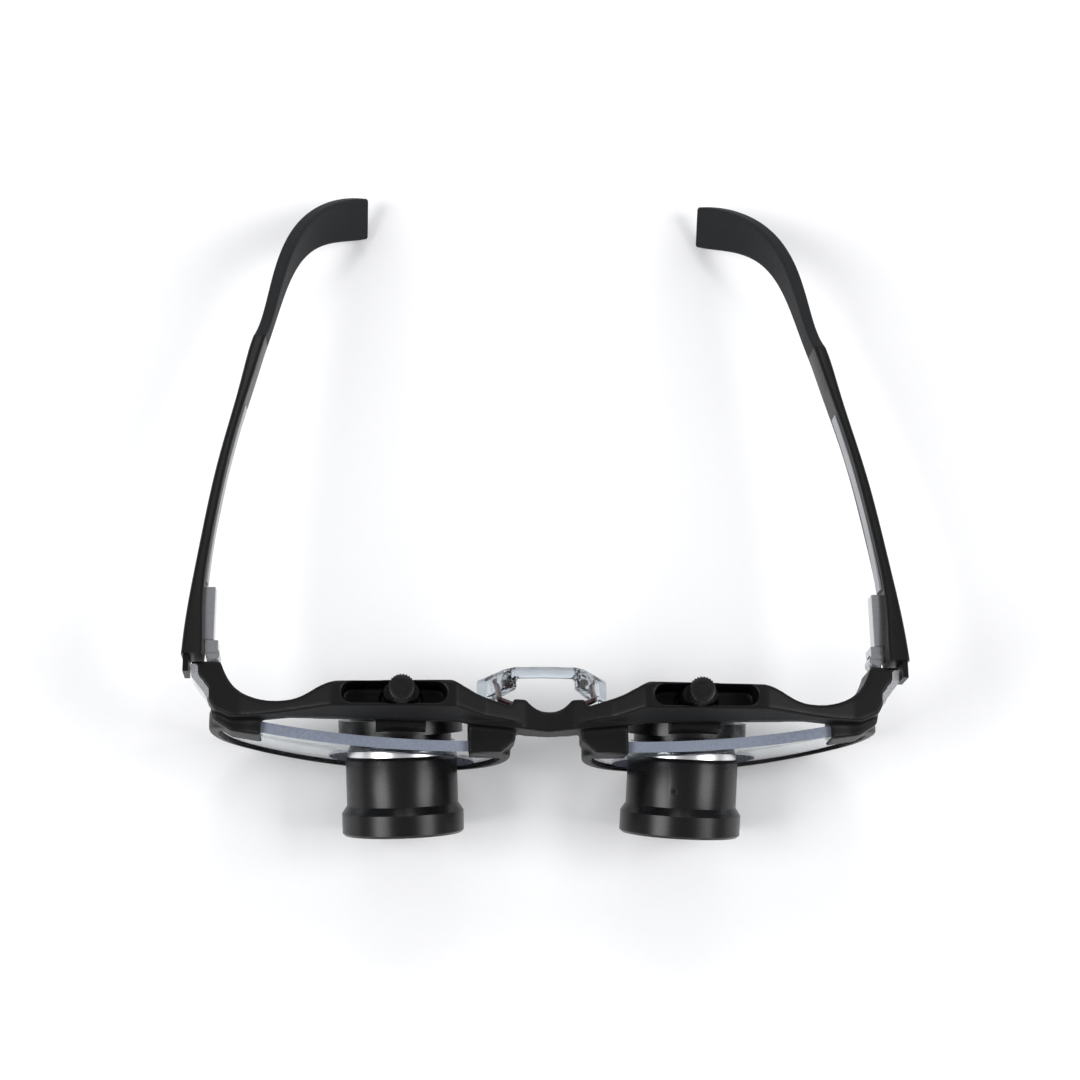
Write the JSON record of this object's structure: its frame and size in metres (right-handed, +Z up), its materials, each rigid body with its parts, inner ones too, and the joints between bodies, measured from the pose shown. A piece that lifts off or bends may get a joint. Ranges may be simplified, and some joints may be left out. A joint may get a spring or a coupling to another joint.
{
  "type": "dental loupes",
  "caption": "Through-the-lens magnifying loupes: a sports spectacle frame with sprung folding temples carries Galilean telescopes on adjustable clamp slides.",
  "frame": {"origin": "on the table, under the centre of the whole object, on the middle plane between the lenses", "axes": "+Z up, -Y the way the wearer looks, +X the wearer's left; the temples run towards +Y"},
  "size_m": [0.1464, 0.1523, 0.045],
  "materials": {
    "frame_black": "matte black moulded nylon",
    "clear_silicone": "clear soft silicone",
    "pad_wire": "dark lacquered wire",
    "carrier_polycarbonate": "clear coated polycarbonate",
    "silver_trim": "bright satin silver",
    "hinge_steel": "plated steel",
    "screw_steel": "bright plated screw",
    "spring_wire": "spring steel wire",
    "core_steel": "bare spring steel",
    "liner_silver": "silver-grey lacquer",
    "temple_black": "satin black moulded nylon",
    "tip_charcoal": "soft-touch charcoal rubber",
    "slide_black": "black acetal",
    "washer_black": "black oxide steel",
    "stud_steel": "steel",
    "anodised_black": "satin black anodised aluminium",
    "stop_black": "flat black baffle",
    "polished_ring": "polished bare aluminium",
    "optical_glass": "coated optical glass",
    "screw_black": "black oxide set screw"
  },
  "bodies": {
    "frame": {"brow_frame": "frame_black", "nose_pad": "clear_silicone", "pad_arms": "pad_wire", "left_carrier_lens": "carrier_polycarbonate", "left_trim_plate": "silver_trim", "left_hinge_leaf": "hinge_steel", "right_carrier_lens": "carrier_polycarbonate", "right_trim_plate": "silver_trim", "right_hinge_leaf": "hinge_steel"},
    "left_temple": {"left_temple_arm": "temple_black", "left_temple_tip": "tip_charcoal", "left_temple_tang": "core_steel", "left_temple_liner": "liner_silver", "left_spring_housing": "hinge_steel", "left_hinge_slider": "hinge_steel", "left_hinge_screw": "screw_steel", "left_hinge_spring": "spring_wire"},
    "left_carriage": {"left_slide_carriage": "slide_black"},
    "left_telescope": {"left_swivel_yoke": "anodised_black", "left_ocular_housing": "anodised_black", "left_eyepiece_lens": "optical_glass", "left_eyepiece_retainer": "anodised_black", "left_lock_ring": "polished_ring", "left_barrel_tube": "anodised_black", "left_field_stop": "stop_black", "left_front_ring": "anodised_black", "left_objective_flint": "optical_glass", "left_objective_crown": "optical_glass", "left_objective_retainer": "anodised_black", "left_barrel_set_screw": "screw_black"},
    "left_washer": {"left_clamp_washer": "washer_black"},
    "left_knob": {"left_thumb_knob": "anodised_black", "left_clamp_stud": "stud_steel"},
    "right_temple": {"right_temple_arm": "temple_black", "right_temple_tip": "tip_charcoal", "right_temple_tang": "core_steel", "right_temple_liner": "liner_silver", "right_spring_housing": "hinge_steel", "right_hinge_slider": "hinge_steel", "right_hinge_screw": "screw_steel", "right_hinge_spring": "spring_wire"},
    "right_carriage": {"right_slide_carriage": "slide_black"},
    "right_telescope": {"right_swivel_yoke": "anodised_black", "right_ocular_housing": "anodised_black", "right_eyepiece_lens": "optical_glass", "right_eyepiece_retainer": "anodised_black", "right_lock_ring": "polished_ring", "right_barrel_tube": "anodised_black", "right_field_stop": "stop_black", "right_front_ring": "anodised_black", "right_objective_flint": "optical_glass", "right_objective_crown": "optical_glass", "right_objective_retainer": "anodised_black"},
    "right_washer": {"right_clamp_washer": "washer_black"},
    "right_knob": {"right_thumb_knob": "anodised_black", "right_clamp_stud": "stud_steel"}
  },
  "joints": [
    {"name": "left_temple_fold", "type": "hinge", "parent": "frame", "child": "left_temple", "pos_m": [0.0673, -0.04074, 0.0312], "axis": [0, 0, 1], "range_deg": [-5, 78]},
    {"name": "left_pupil_slide", "type": "slide", "parent": "frame", "child": "left_carriage", "axis": [1, 0, 0], "range_m": [-0.0025, 0.0025]},
    {"name": "left_telescope_swivel", "type": "hinge", "parent": "left_carriage", "child": "left_telescope", "pos_m": [0.0296, -0.05004, 0.041], "axis": [0, 0, -1], "range_deg": [-2, 3]},
    {"name": "left_clamp_lift", "type": "slide", "parent": "left_carriage", "child": "left_washer", "axis": [0, 0, 1], "range_m": [0, 0.00045]},
    {"name": "left_knob_turn", "type": "hinge", "parent": "left_washer", "child": "left_knob", "pos_m": [0.0296, -0.05004, 0.041], "axis": [0, 0, 1], "range_deg": [0, 360]},
    {"name": "right_temple_fold", "type": "hinge", "parent": "frame", "child": "right_temple", "pos_m": [-0.0673, -0.04074, 0.0312], "axis": [0, 0, -1], "range_deg": [-5, 68]},
    {"name": "right_pupil_slide", "type": "slide", "parent": "frame", "child": "right_carriage", "axis": [-1, 0, 0], "range_m": [-0.0025, 0.0025]},
    {"name": "right_telescope_swivel", "type": "hinge", "parent": "right_carriage", "child": "right_telescope", "pos_m": [-0.0296, -0.05004, 0.041], "axis": [0, 0, 1], "range_deg": [-2, 3]},
    {"name": "right_clamp_lift", "type": "slide", "parent": "right_carriage", "child": "right_washer", "axis": [0, 0, 1], "range_m": [0, 0.00045]},
    {"name": "right_knob_turn", "type": "hinge", "parent": "right_washer", "child": "right_knob", "pos_m": [-0.0296, -0.05004, 0.041], "axis": [0, 0, 1], "range_deg": [0, 360]}
  ],
  "couplings": [
    {"joint": "left_knob_turn", "follows": "left_clamp_lift", "rad_per_m": 13960},
    {"joint": "right_knob_turn", "follows": "right_clamp_lift", "rad_per_m": 13960}
  ]
}
